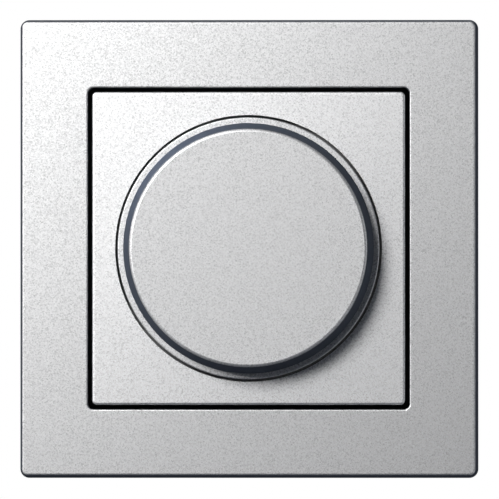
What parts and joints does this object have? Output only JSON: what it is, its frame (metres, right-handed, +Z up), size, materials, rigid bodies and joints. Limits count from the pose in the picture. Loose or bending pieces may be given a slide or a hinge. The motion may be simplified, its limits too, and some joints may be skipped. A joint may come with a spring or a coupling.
{
  "type": "rotary dimmer switch",
  "caption": "Flush-mounted rotary push dimmer: square silver cover frame and centre plate with a round stepped turning knob, on a support ring with claws and a screw-terminal insert.",
  "frame": {"origin": "where the knob's axis meets the wall surface, which is the back face of the support ring", "axes": "+Z up on the wall, -Y out of the wall towards the room along the knob's axis, +X to the right as seen from the room"},
  "size_m": [0.081, 0.043, 0.081],
  "materials": {
    "silver_paint": "fine metallic paint",
    "zinc_steel": "zinc plated",
    "spring_steel": "bright",
    "aluminium_sheet": "milled sheet",
    "grey_thermoset": "moulded",
    "white_thermoset": "moulded",
    "black_thermoset": "moulded",
    "brass_part": "nickel free",
    "copper_part": "bright",
    "board_laminate": "solder mask",
    "brown_laminate": "bare",
    "ferrite": "sintered",
    "yellow_resin": "moulded",
    "blue_sleeve": "shrunk sleeve",
    "beige_lacquer": "lacquered",
    "grey_silicone": "sheet",
    "clear_glass": "drawn tube"
  },
  "bodies": {
    "insert": {"cover_frame": "silver_paint", "centre_plate": "silver_paint", "lock_nut": "brass_part", "lock_washer": "spring_steel", "support_ring": "zinc_steel", "heat_sink": "aluminium_sheet", "insert_cover": "white_thermoset", "housing": "white_thermoset", "housing_screws": "zinc_steel", "pot_bush": "brass_part", "pot_case": "black_thermoset", "resistance_track": "brown_laminate", "circuit_board": "board_laminate", "switch_case": "black_thermoset", "switch_contacts": "copper_part", "return_spring": "spring_steel", "transistor_pad": "grey_silicone", "power_transistor": "grey_thermoset", "transistor_screw": "zinc_steel", "choke_core": "ferrite", "choke_winding": "copper_part", "film_capacitor": "yellow_resin", "electrolytic_capacitor": "blue_sleeve", "resistors": "beige_lacquer", "fuse_tube": "clear_glass", "fuse_caps": "brass_part", "fuse_clips": "spring_steel", "claw_pin_left": "zinc_steel", "claw_pin_right": "zinc_steel", "terminal_tab_1": "brass_part", "terminal_tab_2": "brass_part", "terminal_tab_3": "brass_part"},
    "switch_plunger": {"switch_plunger": "white_thermoset", "contact_bridge": "copper_part"},
    "knob": {"knob": "silver_paint", "hub_ring": "spring_steel", "shaft": "brass_part", "shaft_clip": "spring_steel"},
    "wiper": {"wiper": "black_thermoset"},
    "claw_screw_left": {"claw_screw_left": "zinc_steel"},
    "claw_nut_left": {"claw_nut_left": "zinc_steel"},
    "claw_left": {"claw_left": "zinc_steel"},
    "claw_screw_right": {"claw_screw_right": "zinc_steel"},
    "claw_nut_right": {"claw_nut_right": "zinc_steel"},
    "claw_right": {"claw_right": "zinc_steel"},
    "terminal_screw_1": {"terminal_screw_1": "zinc_steel"},
    "terminal_cage_1": {"terminal_cage_1": "zinc_steel"},
    "terminal_screw_2": {"terminal_screw_2": "zinc_steel"},
    "terminal_cage_2": {"terminal_cage_2": "zinc_steel"},
    "terminal_screw_3": {"terminal_screw_3": "zinc_steel"},
    "terminal_cage_3": {"terminal_cage_3": "zinc_steel"}
  },
  "joints": [
    {"name": "knob_push", "type": "slide", "parent": "insert", "child": "switch_plunger", "axis": [0, 1, 0], "range_m": [0, 0.0018], "stiffness_N_per_m": 1200, "springref_m": -0.0015, "deforming": ["return_spring"]},
    {"name": "knob_turn", "type": "hinge", "parent": "switch_plunger", "child": "knob", "pos_m": [0, 0, 0], "axis": [0, 1, 0], "range_deg": [-140, 140]},
    {"name": "wiper_turn", "type": "hinge", "parent": "insert", "child": "wiper", "pos_m": [0, 0, 0], "axis": [0, 1, 0], "range_deg": [-140, 140]},
    {"name": "claw_screw_turn_left", "type": "hinge", "parent": "insert", "child": "claw_screw_left", "pos_m": [-0.0238, 0, 0], "axis": [0, 1, 0], "range_deg": [0, 5040]},
    {"name": "claw_nut_slide_left", "type": "slide", "parent": "insert", "child": "claw_nut_left", "axis": [0, -1, 0], "range_m": [0, 0.007]},
    {"name": "claw_spread_left", "type": "hinge", "parent": "insert", "child": "claw_left", "pos_m": [-0.02745, 0.0016, 0], "axis": [0, 0, 1], "range_deg": [0, 18]},
    {"name": "claw_screw_turn_right", "type": "hinge", "parent": "insert", "child": "claw_screw_right", "pos_m": [0.0238, 0, 0], "axis": [0, 1, 0], "range_deg": [0, 5040]},
    {"name": "claw_nut_slide_right", "type": "slide", "parent": "insert", "child": "claw_nut_right", "axis": [0, -1, 0], "range_m": [0, 0.007]},
    {"name": "claw_spread_right", "type": "hinge", "parent": "insert", "child": "claw_right", "pos_m": [0.02745, 0.0016, 0], "axis": [0, 0, -1], "range_deg": [0, 18]},
    {"name": "terminal_screw_turn_1", "type": "hinge", "parent": "insert", "child": "terminal_screw_1", "pos_m": [-0.0072, 0.02, -0.0166], "axis": [0, -1, 0], "range_deg": [0, 2160]},
    {"name": "terminal_cage_slide_1", "type": "slide", "parent": "insert", "child": "terminal_cage_1", "axis": [0, 1, 0], "range_m": [0, 0.003]},
    {"name": "terminal_screw_turn_2", "type": "hinge", "parent": "insert", "child": "terminal_screw_2", "pos_m": [0, 0.02, -0.0166], "axis": [0, -1, 0], "range_deg": [0, 2160]},
    {"name": "terminal_cage_slide_2", "type": "slide", "parent": "insert", "child": "terminal_cage_2", "axis": [0, 1, 0], "range_m": [0, 0.003]},
    {"name": "terminal_screw_turn_3", "type": "hinge", "parent": "insert", "child": "terminal_screw_3", "pos_m": [0.0072, 0.02, -0.0166], "axis": [0, -1, 0], "range_deg": [0, 2160]},
    {"name": "terminal_cage_slide_3", "type": "slide", "parent": "insert", "child": "terminal_cage_3", "axis": [0, 1, 0], "range_m": [0, 0.003]}
  ],
  "couplings": [
    {"joint": "wiper_turn", "follows": "knob_turn", "ratio": 1},
    {"joint": "claw_screw_turn_left", "follows": "claw_nut_slide_left", "rad_per_m": 12566},
    {"joint": "claw_spread_left", "follows": "claw_nut_slide_left", "rad_per_m": 44.88},
    {"joint": "claw_screw_turn_right", "follows": "claw_nut_slide_right", "rad_per_m": 12566},
    {"joint": "claw_spread_right", "follows": "claw_nut_slide_right", "rad_per_m": 44.88},
    {"joint": "terminal_screw_turn_1", "follows": "terminal_cage_slide_1", "rad_per_m": 12566},
    {"joint": "terminal_screw_turn_2", "follows": "terminal_cage_slide_2", "rad_per_m": 12566},
    {"joint": "terminal_screw_turn_3", "follows": "terminal_cage_slide_3", "rad_per_m": 12566}
  ]
}
